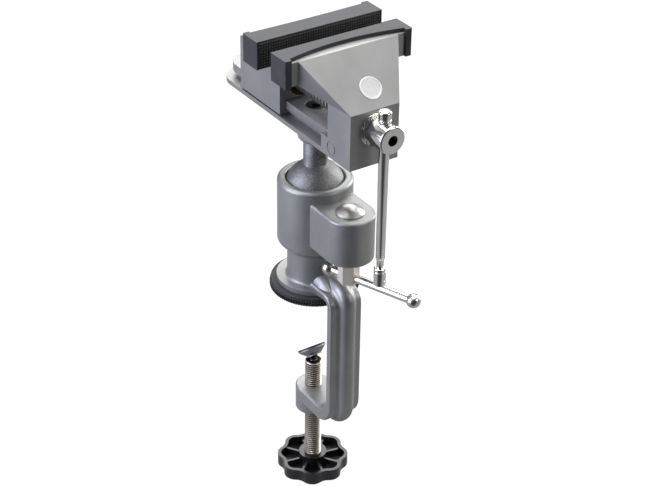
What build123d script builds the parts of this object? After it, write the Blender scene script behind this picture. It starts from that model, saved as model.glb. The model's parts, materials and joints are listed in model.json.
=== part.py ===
"""Clamp-on ball-head bench vise.

Frame: the Z axis is the common axis of the stem, the ball, the post and the clamp screw.
z = 0 is the table top that the rubber seat rests on, and the front (screw end) faces -Y.
All lengths are in millimetres.
"""

from build123d import *
from math import acos, cos, radians, sin, sqrt

import os

os.makedirs("parts", exist_ok=True)

# --- Clearances, and sizes for building -----------------------------------------------------
running_fit = 0.05
sliding_fit = 0.12
face_gap = 0.10
bar_press_gap = 0.02
overcut = 1.0
pick = 0.01

# --- Table seat, post and ball socket (one casting with the C-shaped frame) ------------------
seat_radius = 25.5
seat_thickness = 5.5
seat_edge = 0.8
disc_radius = 21.5
disc_thickness = 2.6
post_radius = 15.5
post_foot_round = 1.5
socket_radius = 21.1
post_length = 18.4
socket_under_ball = 36.8
socket_cone = 5.0
socket_cone_round = 3.0
socket_over_ball = 7.2
socket_edge = 2.0
socket_mouth_round = 1.2

# --- Ball, stem and seat cup -------------------------------------------------------------------
ball_radius = 17.0
ball_gap = 0.10
lip_radius = 16.3
stem_radius = 6.75
stem_foot_round = 0.8
stem_end_chamfer = 0.5
stem_mark_rise = 18.6
stem_mark_radius = 2.4
stem_mark_depth = 0.5
seat_cup_height = 7.0
seat_cup_drop = 19.3
seat_cup_hole = 7.0

# --- C-shaped frame: a flange round the throat, and a round rib along its back -----------------
arm_half_width = 10.4
arm_flange = 4.7
arm_flange_low = 9.0
arm_edge = 1.2
arm_upper_bend = 9.0
column_inner = 28.2
throat_height = 70.0
throat_corner = 9.0
rib_half_width = 4.8
rib_depth = 5.0
rib_round = 4.5
rib_foot_round = 3.0
rib_upper_bend = 12.0
rib_lower_bend = 16.0
rib_low_drop = 4.0
root_half_width = 9.2
root_round = 5.5
root_flat = 3.0
root_reach = 16.0
root_toe = 2.0
root_heel = 3.0
root_flare = 7.0
boss_radius = 10.5
boss_height = 16.3
boss_edge = 1.0

# --- Lug with the lock bolt --------------------------------------------------------------------
lug_axis = 34.0
lug_radius = 13.8
lug_drop = 6.5
lug_over_post = 10.2
lug_edge = 1.2
lug_roof = 3.4
lock_bore_radius = 7.2
lock_bolt_radius = 3.0
lock_bolt_chamfer = 0.6
lock_bolt_reach = 9.1
lock_square = 6.4
lock_square_length = 3.0
dome_radius = 8.0
dome_height = 4.2
dome_rim = 0.7
wedge_headroom = 0.6
wedge_cone = 8.0
wedge_foot = 0.6
wedge_tip_radius = 3.5
shoe_over_shoulder = 4.8
shoe_radius = 4.5
shoe_tip_radius = 2.5
shoe_tip_gap = 0.15
shoe_tip_length = 1.45
shoe_trim = 8.55
shoe_bore_overlap = 2.88

# --- Lock nut and its sliding bar --------------------------------------------------------------
nut_flats = 10.5
nut_height = 16.05
nut_edge = 0.5
nut_bolt_depth = 0.5
lock_bar_rise = 3.6
lock_bar_radius = 2.4
lock_bar_angle = -68.8
lock_bar_long = 42.3
lock_bar_short = 13.3
lock_ball_radius = 4.0
lock_ball_socket = 0.5

# --- Clamp screw, knob and swivel pad ----------------------------------------------------------
clamp_radius = 4.95
clamp_chamfer = 0.8
clamp_drop = 52.8
clamp_thread_length = 69.6
clamp_square = 6.6
clamp_square_length = 4.6
clamp_neck_radius = 1.25
pad_ball_radius = 2.6
pad_lean = 40.0
pad_radius = 8.3
pad_rim = 0.7
pad_slope = 3.2
pad_face_thickness = 0.9
pad_hub_radius = 4.5
pad_hub_bottom = 1.5
pad_clearance = 0.3
pad_mouth_flare = 0.4
pad_ring_wire = 0.25
pad_ring_height = 0.7
pad_floor = 0.4
pad_hole_radius = 1.5
pad_hole_turn = 230.0
pad_hole_height = 0.7
pad_hole_depth = 1.0
thrust_washer_radius = 2.2
thrust_washer_thickness = 0.4
knob_seat = 0.3
knob_height = 8.0
knob_radius = 21.2
knob_hollow_radius = 7.0
knob_hollow_depth = 2.2
knob_turn = 11.0
knob_lobes = 8
knob_wall = 2.0
knob_floor = 2.2
knob_hub_radius = 8.3
knob_hub_rise = 1.9
knob_rib = 1.4
knob_rib_drop = 1.6
knob_edge = 0.9
knob_screw_radius = 2.5
knob_screw_head_radius = 4.6
knob_screw_head = 2.4
knob_screw_head_round = 1.0
knob_screw_sink = 1.6
knob_screw_hex = 3.2
knob_screw_hex_depth = 1.5
knob_screw_length = 10.0

# --- Vise head: bed, nose and fixed jaw --------------------------------------------------------
bed_over_ball = 39.4
bed_half_width = 15.1
bed_end_centre = 64.5
flange_thickness = 2.7
web_height = 3.8
web_half_width = 8.0
rail_height = 4.9
rail_half_width = 11.3
screw_over_deck = 9.5
nose_over_screw = 10.8
nose_length = 20.7
nose_rear = 33.7
ledge_length = 5.9
ledge_drop = 0.4
wing_setback = 3.9
wing_half_width = 30.8
wedge_rise = 11.5
plate_height = 13.1
plate_thickness = 9.3
plate_half_width = 35.2
under_boss_radius = 9.9
under_boss_height = 9.2
under_boss_round = 3.0
deck_hole_radius = 5.8
deck_hole_depth = 7.5
bolt_seat_floor = 5.6
head_bolt_radius = 3.0
head_bolt_head_radius = 5.0
head_bolt_head = 5.5
head_bolt_chamfer = 0.4
head_bolt_length = 24.0
head_bolt_runout = 2.0
bolt_hex = 5.0
bolt_hex_depth = 3.0
spring_washer = 1.5
mark_radius = 3.9
mark_ring = 0.7
mark_depth = 0.4
mark_setback = 17.2
mark_rise = 5.7
badge_radius = 6.4
badge_thickness = 0.3
badge_x = 2.6
badge_along_slope = 11.4

# --- Jaw pads ----------------------------------------------------------------------------------
jaw_pad_end = 3.8
jaw_pad_skirt = 0.3
jaw_pad_cover = 2.2
jaw_pad_wrap = 1.3
jaw_pad_face = 3.75
jaw_pad_round = 0.8
pad_arch_end = 2.4
pad_arch_middle = 6.9
rear_arch_end = 1.4
rear_arch_middle = 2.0
rest_gap = 12.7

# --- Sliding jaw -------------------------------------------------------------------------------
jaw_body_setback = 3.4
jaw_body_length = 40.6
jaw_wing_length = 25.0
jaw_underside_gap = 1.0
jaw_rear_rise = 2.9
jaw_lip_half_gap = 8.3
screw_bore_gap = 0.7
jaw_nut_radius = 9.0
jaw_nut_length = 16.0
jaw_nut_flat = 7.6

# --- Lead screw and tommy bar ------------------------------------------------------------------
screw_radius = 6.0
screw_short = 1.0
screw_chamfer = 1.0
screw_head_radius = 7.7
screw_head_length = 15.0
screw_head_edge = 1.0
screw_collar_radius = 8.6
screw_collar = 1.6
screw_hex = 5.2
screw_hex_depth = 5.0
nose_washer_radius = 9.2
nose_washer = 1.0
clip_outer_radius = 8.6
clip_thickness = 1.0
clip_groove_radius = 5.2
clip_mouth = 5.2
clip_setback = 0.15
tommy_setback = 7.5
tommy_top_radius = 2.85
tommy_low_radius = 2.5
tommy_drop = 90.4
tommy_cap_gap = 0.05
tommy_cap_radius = 3.5
tommy_cap_height = 6.4
tommy_ferrule_radius = 3.3
tommy_ferrule_height = 11.4
tommy_neck_radius = 2.0
tommy_neck_height = 6.0
tommy_shoulder = 0.5
tommy_spigot_radius = 1.5
tommy_spigot_length = 4.0
tommy_spigot_gap = 0.2
tommy_end_round = 1.0

# --- Worked-out heights, from the table up ------------------------------------------------------
disc_top = seat_thickness + disc_thickness
socket_bottom = disc_top + post_length
ball_height = socket_bottom + socket_under_ball
socket_top = ball_height + socket_over_ball
seat_cup_floor = ball_height - seat_cup_drop
lug_top = socket_top - lug_drop
lug_bottom = socket_bottom + lug_over_post
wedge_top = lug_top - lug_roof - wedge_headroom
wedge_shoulder = wedge_top - wedge_cone
wedge_lower = lug_bottom - wedge_foot
shoe_height = wedge_shoulder + shoe_over_shoulder
nut_top = wedge_lower - running_fit
nut_bottom = nut_top - nut_height
lock_bar_height = nut_bottom + lock_bar_rise
lock_bolt_end = wedge_lower - lock_bolt_reach
bed_bottom = ball_height + bed_over_ball
flange_top = bed_bottom + flange_thickness
rail_bottom = flange_top + web_height
deck_top = rail_bottom + rail_height
bolt_seat = deck_top - deck_hole_depth
stem_socket_top = bolt_seat - bolt_seat_floor
stem_top = stem_socket_top - face_gap
screw_height = deck_top + screw_over_deck
nose_height = screw_height + nose_over_screw
plate_bottom = nose_height + wedge_rise
plate_top = plate_bottom + plate_height
jaw_pad_bottom = plate_bottom - jaw_pad_skirt
jaw_pad_top = plate_top + jaw_pad_cover
jaw_rear_top = nose_height + jaw_rear_rise
tommy_cap_bottom = screw_height + screw_head_radius + tommy_cap_gap
tommy_bottom = screw_height - tommy_drop

# --- Worked-out heights under the table ---------------------------------------------------------
boss_bottom = -throat_height - boss_height
clamp_top = -clamp_drop
pad_dip = pad_hub_bottom * cos(radians(pad_lean)) + pad_hub_radius * sin(radians(pad_lean))
pad_height = clamp_top + pad_dip + pad_clearance
clamp_square_top = clamp_top - clamp_thread_length
clamp_end = clamp_square_top - clamp_square_length
knob_top = clamp_square_top - knob_seat
knob_hub_top = knob_top + knob_hub_rise
knob_bottom = knob_top - knob_height

# --- Worked-out places along Y and around -------------------------------------------------------
ball_cavity = ball_radius + ball_gap
bore_radius = ball_cavity
throat_upper_corner = column_inner - seat_radius
nose_front = nose_rear + nose_length
ledge_end = nose_rear - ledge_length
wing_front = nose_rear - wing_setback
plate_rear = wing_front - plate_thickness
fixed_face = plate_rear - jaw_pad_face
pad_half_width = plate_half_width + jaw_pad_end
sliding_face = -fixed_face + rest_gap
jaw_plate_front = sliding_face + jaw_pad_face
jaw_plate_rear = jaw_plate_front + plate_thickness
jaw_front = jaw_plate_rear + jaw_body_setback
jaw_rear = jaw_front + jaw_body_length
jaw_wing_end = jaw_plate_rear + jaw_wing_length
screw_end = jaw_rear - screw_short
screw_head_rear = nose_front + nose_washer
screw_head_front = screw_head_rear + screw_head_length
tommy_y = screw_head_rear + tommy_setback
mark_y = nose_front - mark_setback
shoe_body_end = lug_axis - lock_bore_radius + running_fit - shoe_tip_length
wedge_slant = (lock_bore_radius - running_fit - wedge_tip_radius) / wedge_cone
bar_direction = Vector(cos(radians(lock_bar_angle)), sin(radians(lock_bar_angle)), 0)


def save(builder, label):
    """Name a finished piece and write it out."""
    builder.part.label = label
    export_step(builder.part, f"parts/{label}.step")


# =============================== The frame and the table seat ==================================


def side_plane(x=0.0):
    """A sketch plane seen from +X: its first axis is Y and its second is Z."""
    return Plane(origin=(x, 0, 0), x_dir=(0, 1, 0), z_dir=(1, 0, 0))


def c_band(depth, low_depth, upper_bend, lower_bend, low_drop=0.0):
    """The C round the throat, seen from the side: out past the seat, down, and back to the boss."""
    top = seat_thickness + depth
    back = -column_inner - depth
    bottom = -throat_height - low_depth
    with BuildSketch() as band:
        with BuildLine():
            outside = FilletPolyline(
                (-post_radius / 2, top),
                (back, top),
                (back, bottom),
                (0, bottom - low_drop),
                radius=[upper_bend, lower_bend],
            )
            Line(outside @ 1, (0, -throat_height))
            inside = FilletPolyline(
                (0, -throat_height),
                (-column_inner, -throat_height),
                (-column_inner, seat_thickness),
                (-post_radius / 2, seat_thickness),
                radius=[throat_corner, throat_upper_corner],
            )
            Line(inside @ 1, outside @ 0)
        make_face()
    return band.sketch


def on_side(edge, half_width):
    """Whether an edge lies in either side face of an arm of that half width."""
    return abs(abs(edge.center().X) - half_width) < pick


with BuildPart() as c_post:
    # Disc, post and socket, turned about Z
    with BuildSketch(Plane.XZ):
        with BuildLine():
            Polyline(
                (0, seat_thickness),
                (disc_radius, seat_thickness),
                (disc_radius, disc_top),
                (post_radius, disc_top),
                (post_radius, socket_bottom),
                (socket_radius, socket_bottom + socket_cone),
                (socket_radius, socket_top),
                (0, socket_top),
                close=True,
            )
        make_face()
    revolve(axis=Axis.Z)
    rings = c_post.edges().filter_by(GeomType.CIRCLE)
    fillet(rings.sort_by(Axis.Z)[-1], socket_edge)
    cone_edges = c_post.edges().filter_by(GeomType.CIRCLE).filter_by(
        lambda e: socket_bottom - pick < e.center().Z < socket_bottom + socket_cone + pick
    )
    fillet(cone_edges, socket_cone_round)
    rings = c_post.edges().filter_by(GeomType.CIRCLE)
    at_disc = rings.filter_by_position(Axis.Z, disc_top - pick, disc_top + pick)
    fillet(at_disc.sort_by(SortBy.RADIUS)[0], post_foot_round)
    # Lug for the lock bolt: flat sides, round front
    with BuildSketch(Plane.XY.offset(lug_bottom)):
        with Locations((0, -lug_axis)):
            Circle(lug_radius)
        with Locations((0, -lug_axis / 2)):
            Rectangle(2 * lug_radius, lug_axis)
    extrude(amount=lug_top - lug_bottom)
    lug_rims = c_post.edges().filter_by(GeomType.CIRCLE).filter_by(
        lambda e: abs(e.arc_center.Y + lug_axis) < pick
    )
    fillet(lug_rims, lug_edge)

with BuildPart() as c_flange:
    # Flange of the C with the boss that the clamp screw runs in, flared where it leaves the disc
    with BuildSketch(Plane.XY.offset(seat_thickness)):
        Circle(disc_radius)
    extrude(amount=disc_thickness)
    with BuildSketch(side_plane(-arm_half_width)):
        add(c_band(arm_flange, arm_flange_low, arm_upper_bend, throat_corner + arm_flange))
    extrude(amount=2 * arm_half_width)
    with BuildSketch(Plane.XY.offset(boss_bottom)):
        Circle(boss_radius)
    extrude(amount=boss_height)
    flare = c_flange.edges().filter_by(Axis.Z).filter_by(
        lambda e: on_side(e, arm_half_width)
        and e.center().Z > seat_thickness
        and e.center().Y < -post_radius
    )
    fillet(flare, root_flare)
    sides = c_flange.edges().filter_by(
        lambda e: on_side(e, arm_half_width) and e.center().Y < -post_radius
    )
    fillet(sides, arm_edge)
    boss_rims = c_flange.edges().filter_by(GeomType.CIRCLE).filter_by(
        lambda e: abs(e.radius - boss_radius) < pick
        and (e.center().Z < boss_bottom + pick or e.center().Z > -throat_height - pick)
    )
    fillet(boss_rims, boss_edge)

with BuildPart() as c_rib:
    # Round rib along the back of the flange
    rib_out = arm_flange + rib_depth
    with BuildSketch(side_plane(-rib_half_width)):
        add(c_band(rib_out, rib_out, rib_upper_bend, rib_lower_bend, rib_low_drop))
    extrude(amount=2 * rib_half_width)
    crest = c_rib.edges().filter_by(
        lambda e: on_side(e, rib_half_width)
        and e.center().Y < -post_radius / 2 - pick
        and (
            e.center().Y < -column_inner - arm_flange
            or e.center().Z > seat_thickness + arm_flange
            or e.center().Z < -throat_height - arm_flange
        )
    )
    fillet(crest, rib_round)

with BuildPart() as c_root:
    # Thick root of the arm, from the post down to the bend
    root_top = seat_thickness + arm_flange + rib_depth
    root_end = -post_radius - root_reach
    with BuildSketch(side_plane(-root_half_width)):
        Polygon(
            (-post_radius / 2, seat_thickness),
            (-post_radius / 2, root_top),
            (-post_radius - root_flat, root_top),
            (root_end, seat_thickness + root_toe),
            (root_end + root_heel, seat_thickness),
            align=None,
        )
    extrude(amount=2 * root_half_width)
    shoulders = c_root.edges().filter_by(
        lambda e: on_side(e, root_half_width)
        and e.center().Z > disc_top
        and e.center().Y < -post_radius / 2 - pick
    )
    fillet(shoulders, root_round)

with BuildPart() as c_frame:
    add(c_flange.part)
    add(c_rib.part)
    rib_feet = new_edges(c_flange.part, c_rib.part, combined=c_frame.part).filter_by(
        lambda e: on_side(e, rib_half_width) and e.center().Y < -disc_radius
    )
    fillet(rib_feet, rib_foot_round)
    add(c_root.part)
    add(c_post.part)
    # Ball bore, closed over above the middle of the ball to keep it in
    lip_height = ball_height + sqrt(ball_cavity**2 - lip_radius**2)
    lip_bend = acos(lip_radius / ball_cavity) / 2
    with BuildSketch(Plane.XZ):
        with BuildLine():
            Polyline(
                (lip_radius, lip_height),
                (lip_radius, socket_top + overcut),
                (0, socket_top + overcut),
                (0, seat_cup_floor),
                (bore_radius, seat_cup_floor),
                (bore_radius, ball_height),
            )
            ThreePointArc(
                (bore_radius, ball_height),
                (ball_cavity * cos(lip_bend), ball_height + ball_cavity * sin(lip_bend)),
                (lip_radius, lip_height),
            )
        make_face()
    revolve(axis=Axis.Z, mode=Mode.SUBTRACT)
    # Lock bore in the lug, with the square hole that keeps the bolt from turning
    with BuildSketch(Plane.XY.offset(lug_bottom - overcut)):
        with Locations((0, -lug_axis)):
            Circle(lock_bore_radius)
    extrude(amount=lug_top - lug_roof - lug_bottom + overcut, mode=Mode.SUBTRACT)
    with BuildSketch(Plane.XY.offset(lug_top + overcut)):
        with Locations((0, -lug_axis)):
            Rectangle(lock_square + 2 * running_fit, lock_square + 2 * running_fit)
    extrude(amount=-lug_roof - 2 * overcut, mode=Mode.SUBTRACT)
    # Cross bore for the shoe, from the lock bore to the ball
    cross_start = bore_radius - shoe_bore_overlap
    cross_end = lug_axis - lock_bore_radius + shoe_bore_overlap
    with BuildSketch(Plane.XZ.offset(cross_start)):
        with Locations((0, shoe_height)):
            Circle(shoe_radius + running_fit)
    extrude(amount=cross_end - cross_start, mode=Mode.SUBTRACT)
    # Thread of the clamp screw
    with BuildSketch(Plane.XY.offset(boss_bottom - overcut)):
        Circle(clamp_radius + running_fit)
    extrude(amount=boss_height + 2 * overcut, mode=Mode.SUBTRACT)
    mouth = c_frame.edges().filter_by(GeomType.CIRCLE).filter_by(
        lambda e: abs(e.radius - lip_radius) < pick and e.center().Z > socket_top - pick
    )
    fillet(mouth, socket_mouth_round)
save(c_frame, "c_frame")

with BuildPart() as table_seat:
    with BuildSketch(Plane.XY):
        Circle(seat_radius)
    extrude(amount=seat_thickness)
    chamfer(table_seat.edges().group_by(Axis.Z)[-1], seat_edge)
save(table_seat, "table_seat_rubber")

# ==================================== The ball and its lock ====================================

with BuildPart() as ball_seat:
    # Cup under the ball: its hollow follows the ball at a small gap
    cup_gap_radius = ball_radius + running_fit
    cup_top = seat_cup_floor + seat_cup_height
    cup_lip = sqrt(cup_gap_radius**2 - (ball_height - cup_top) ** 2)
    cup_low = ball_height - sqrt(cup_gap_radius**2 - seat_cup_hole**2)
    middle = (cup_lip + seat_cup_hole) / 2
    with BuildSketch(Plane.XZ):
        with BuildLine():
            Polyline(
                (seat_cup_hole, cup_low),
                (seat_cup_hole, seat_cup_floor),
                (bore_radius - face_gap, seat_cup_floor),
                (bore_radius - face_gap, cup_top),
                (cup_lip, cup_top),
            )
            ThreePointArc(
                (cup_lip, cup_top),
                (middle, ball_height - sqrt(cup_gap_radius**2 - middle**2)),
                (seat_cup_hole, cup_low),
            )
        make_face()
    revolve(axis=Axis.Z)
save(ball_seat, "ball_seat")

with BuildPart() as ball_stem:
    with Locations((0, 0, ball_height)):
        Sphere(ball_radius)
    with BuildSketch(Plane.XY.offset(ball_height)):
        Circle(stem_radius)
    extrude(amount=stem_top - ball_height)
    neck = ball_stem.edges().filter_by(GeomType.CIRCLE).filter_by(
        lambda e: abs(e.radius - stem_radius) < pick
    ).sort_by(Axis.Z)[0]
    fillet(neck, stem_foot_round)
    chamfer(ball_stem.edges().group_by(Axis.Z)[-1], stem_end_chamfer)
    # Tapped hole for the head bolt
    with BuildSketch(Plane.XY.offset(stem_top)):
        Circle(head_bolt_radius + running_fit)
    tapped = head_bolt_length - (bolt_seat - stem_top) + head_bolt_runout
    extrude(amount=-tapped, mode=Mode.SUBTRACT)
    # Shallow round flat on the front of the stem
    with BuildSketch(Plane.XZ.offset(stem_radius + overcut)):
        with Locations((0, ball_height + stem_mark_rise)):
            Circle(stem_mark_radius)
    extrude(amount=-overcut - stem_mark_depth, mode=Mode.SUBTRACT)
save(ball_stem, "ball_stem")

with BuildPart() as ball_shoe:
    # Plunger along Y: hollow nose against the ball, round tip against the wedge
    normal = Vector(1, wedge_slant).normalized()
    tip_distance = shoe_tip_radius + shoe_tip_gap - (shoe_height - wedge_shoulder) * normal.Y
    tip_y = -lug_axis + lock_bore_radius - running_fit + tip_distance / normal.X
    shoe_start = bore_radius - shoe_trim
    with BuildSketch(Plane.XZ.offset(shoe_start)):
        with Locations((0, shoe_height)):
            Circle(shoe_radius)
    extrude(amount=shoe_body_end - shoe_start)
    with BuildSketch(Plane.XZ.offset(shoe_body_end)):
        with Locations((0, shoe_height)):
            Circle(shoe_tip_radius)
    extrude(amount=-tip_y - shoe_body_end)
    with Locations((0, tip_y, shoe_height)):
        Sphere(shoe_tip_radius)
    with Locations((0, 0, ball_height)):
        Sphere(ball_cavity, mode=Mode.SUBTRACT)
save(ball_shoe, "ball_shoe")

with BuildPart() as lock_wedge:
    # Sleeve round the bolt with a cone at its top
    sleeve_radius = lock_bore_radius - running_fit
    sleeve_bore = lock_bolt_radius + running_fit
    with BuildSketch(Plane.XZ.offset(lug_axis)):
        with BuildLine():
            Polyline(
                (sleeve_bore, wedge_lower),
                (sleeve_radius, wedge_lower),
                (sleeve_radius, wedge_shoulder),
                (wedge_tip_radius, wedge_top),
                (sleeve_bore, wedge_top),
                close=True,
            )
        make_face()
    revolve(axis=Axis((0, -lug_axis, 0), (0, 0, 1)))
save(lock_wedge, "lock_wedge")

with BuildPart() as lock_bolt:
    # Domed head, square neck and threaded shank
    crown = (dome_radius**2 + (dome_height - dome_rim) ** 2) / (2 * (dome_height - dome_rim))
    half_turn = dome_radius / 2
    with BuildSketch(Plane.XZ.offset(lug_axis)):
        with BuildLine():
            Polyline(
                (0, lug_top + dome_height),
                (0, lug_top),
                (dome_radius, lug_top),
                (dome_radius, lug_top + dome_rim),
            )
            ThreePointArc(
                (dome_radius, lug_top + dome_rim),
                (half_turn, lug_top + dome_height - crown + sqrt(crown**2 - half_turn**2)),
                (0, lug_top + dome_height),
            )
        make_face()
    revolve(axis=Axis((0, -lug_axis, 0), (0, 0, 1)))
    with BuildSketch(Plane.XY.offset(lug_top)):
        with Locations((0, -lug_axis)):
            Rectangle(lock_square, lock_square)
    extrude(amount=-lock_square_length)
    with BuildSketch(Plane.XY.offset(lug_top)):
        with Locations((0, -lug_axis)):
            Circle(lock_bolt_radius)
    extrude(amount=lock_bolt_end - lug_top)
    chamfer(lock_bolt.edges().group_by(Axis.Z)[0], lock_bolt_chamfer)
save(lock_bolt, "lock_bolt")

bar_plane = Plane(
    origin=(0, -lug_axis, lock_bar_height), x_dir=(0, 0, 1), z_dir=bar_direction
)

with BuildPart() as lock_nut:
    with BuildSketch(Plane.XY.offset(nut_bottom)):
        with Locations(Location((0, -lug_axis, 0), (0, 0, lock_bar_angle))):
            RegularPolygon(nut_flats / 2, 6, major_radius=False, rotation=30)
    extrude(amount=nut_height)
    chamfer(lock_nut.edges().group_by(Axis.Z)[0], nut_edge)
    with BuildSketch(Plane.XY.offset(wedge_lower)):
        with Locations((0, -lug_axis)):
            Circle(lock_bolt_radius + running_fit)
    extrude(amount=-lock_bolt_reach - nut_bolt_depth, mode=Mode.SUBTRACT)
    with BuildSketch(bar_plane.offset(-nut_flats)):
        Circle(lock_bar_radius + running_fit)
    extrude(amount=2 * nut_flats, mode=Mode.SUBTRACT)
save(lock_nut, "lock_nut")

with BuildPart() as lock_bar:
    with BuildSketch(bar_plane.offset(-lock_bar_short + lock_ball_socket)):
        Circle(lock_bar_radius)
    extrude(amount=lock_bar_long + lock_bar_short - 2 * lock_ball_socket)
save(lock_bar, "lock_bar")

for label, reach in (("lock_bar_long_ball", lock_bar_long), ("lock_bar_short_ball", -lock_bar_short)):
    inwards = -1 if reach > 0 else 1
    centre = bar_plane.offset(reach)
    with BuildPart() as lock_ball:
        with Locations(centre):
            Sphere(lock_ball_radius)
        with BuildSketch(bar_plane.offset(reach + inwards * lock_ball_socket)):
            Circle(lock_bar_radius + bar_press_gap)
        extrude(amount=inwards * lock_ball_radius, mode=Mode.SUBTRACT)
    save(lock_ball, label)

# ================================ The clamp screw and its pad ==================================

with BuildPart() as clamp_screw:
    with BuildSketch(Plane.XY.offset(clamp_square_top)):
        Circle(clamp_radius)
    extrude(amount=clamp_thread_length)
    chamfer(clamp_screw.edges().group_by(Axis.Z)[-1], clamp_chamfer)
    # Square end that the knob is held on, and the hole for its screw
    with BuildSketch(Plane.XY.offset(clamp_end)):
        Rectangle(clamp_square, clamp_square)
    extrude(amount=clamp_square_length)
    with BuildSketch(Plane.XY.offset(clamp_end)):
        Circle(knob_screw_radius + running_fit)
    extrude(amount=knob_screw_length, mode=Mode.SUBTRACT)
    # Neck and ball tip
    with BuildSketch(Plane.XY.offset(clamp_top)):
        Circle(clamp_neck_radius)
    extrude(amount=pad_height - clamp_top)
    with Locations((0, 0, pad_height)):
        Sphere(pad_ball_radius)
save(clamp_screw, "clamp_screw")

lobe_step = 360 / knob_lobes
hollow_centre = knob_radius - knob_hollow_depth + knob_hollow_radius
wave_reach = knob_radius + knob_hollow_radius
lobe_centre = (wave_reach**2 - hollow_centre**2) / (
    2 * (wave_reach - hollow_centre * cos(radians(lobe_step / 2)))
)


def knob_wave(inset):
    """The wavy face of the knob, drawn in by the inset. Each lobe runs smoothly into the hollows."""

    def around(radius, turn):
        return Vector(radius, 0).rotate(Axis.Z, knob_turn + turn)

    def meeting(turn, side):
        lobe = around(lobe_centre, turn)
        towards_hollow = (around(hollow_centre, turn + side * lobe_step / 2) - lobe).normalized()
        return lobe + towards_hollow * (knob_radius - lobe_centre - inset)

    with BuildSketch() as wave:
        with BuildLine():
            for number in range(knob_lobes):
                turn = number * lobe_step
                hollow = around(knob_radius - knob_hollow_depth - inset, turn + lobe_step / 2)
                ThreePointArc(meeting(turn, -1), around(knob_radius - inset, turn), meeting(turn, 1))
                ThreePointArc(meeting(turn, 1), hollow, meeting(turn + lobe_step, -1))
        make_face()
    return wave.sketch


with BuildPart() as clamp_knob:
    # Scalloped cup, open at the top, with a hub and a rib to each hollow of the rim
    with BuildSketch(Plane.XY.offset(knob_bottom)):
        add(knob_wave(0))
    extrude(amount=knob_height)
    fillet(clamp_knob.edges().group_by(Axis.Z)[0], knob_edge)
    with BuildSketch(Plane.XY.offset(knob_bottom + knob_floor)):
        add(knob_wave(knob_wall))
    extrude(amount=knob_height, mode=Mode.SUBTRACT)
    with BuildSketch(Plane.XY.offset(knob_bottom + knob_floor)):
        rib_end = knob_radius - knob_hollow_depth - knob_wall / 2
        with PolarLocations(rib_end / 2, knob_lobes, start_angle=knob_turn + lobe_step / 2):
            Rectangle(rib_end, knob_rib)
    extrude(amount=knob_height - knob_floor - knob_rib_drop)
    with BuildSketch(Plane.XY.offset(knob_bottom + knob_floor)):
        Circle(knob_hub_radius)
    extrude(amount=knob_hub_top - knob_bottom - knob_floor)
    # Seat of the clamp screw: round at the top, square below, and a counterbore underneath
    with BuildSketch(Plane.XY.offset(knob_hub_top)):
        Circle(clamp_radius + running_fit)
    extrude(amount=clamp_square_top - knob_hub_top, mode=Mode.SUBTRACT)
    with BuildSketch(Plane.XY.offset(clamp_square_top)):
        Rectangle(clamp_square + 2 * running_fit, clamp_square + 2 * running_fit)
    extrude(amount=-clamp_square_length - face_gap, mode=Mode.SUBTRACT)
    with BuildSketch(Plane.XY.offset(knob_bottom)):
        Circle(knob_screw_radius + face_gap)
    extrude(amount=knob_height, mode=Mode.SUBTRACT)
    with BuildSketch(Plane.XY.offset(knob_bottom)):
        Circle(knob_screw_head_radius + face_gap)
    extrude(amount=knob_screw_sink, mode=Mode.SUBTRACT)
save(clamp_knob, "clamp_knob")

with BuildPart() as knob_screw:
    screw_seat = knob_bottom + knob_screw_sink
    with BuildSketch(Plane.XY.offset(screw_seat)):
        Circle(knob_screw_head_radius)
    extrude(amount=-knob_screw_head)
    fillet(knob_screw.edges().group_by(Axis.Z)[0], knob_screw_head_round)
    with BuildSketch(Plane.XY.offset(screw_seat)):
        Circle(knob_screw_radius)
    extrude(amount=knob_screw_length)
    with BuildSketch(Plane.XY.offset(screw_seat - knob_screw_head)):
        RegularPolygon(knob_screw_hex / 2, 6, major_radius=False)
    extrude(amount=knob_screw_hex_depth, mode=Mode.SUBTRACT)
save(knob_screw, "knob_screw")

with BuildPart() as pad_thrust_washer:
    with BuildSketch(Plane.XY.offset(clamp_top)):
        Circle(thrust_washer_radius)
        Circle(clamp_neck_radius + running_fit, mode=Mode.SUBTRACT)
    extrude(amount=thrust_washer_thickness)
save(pad_thrust_washer, "pad_thrust_washer")

# The swivel pad leans back about X; its own axis points up from the ball tip
pad_centre = Vector(0, 0, pad_height)
pad_up = Vector(0, sin(radians(pad_lean)), cos(radians(pad_lean)))
pad_axis = Axis(pad_centre, pad_up)
pad_profile = Plane(origin=pad_centre, x_dir=(1, 0, 0), z_dir=pad_up.cross(Vector(-1, 0, 0)))
pad_cup_radius = pad_ball_radius + face_gap
pad_cup_middle = pad_cup_radius * cos(radians(45))
pad_top = pad_cup_radius + pad_floor
ring_radius = sqrt(pad_ball_radius**2 - pad_ring_height**2) + pad_ring_wire + face_gap

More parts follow.
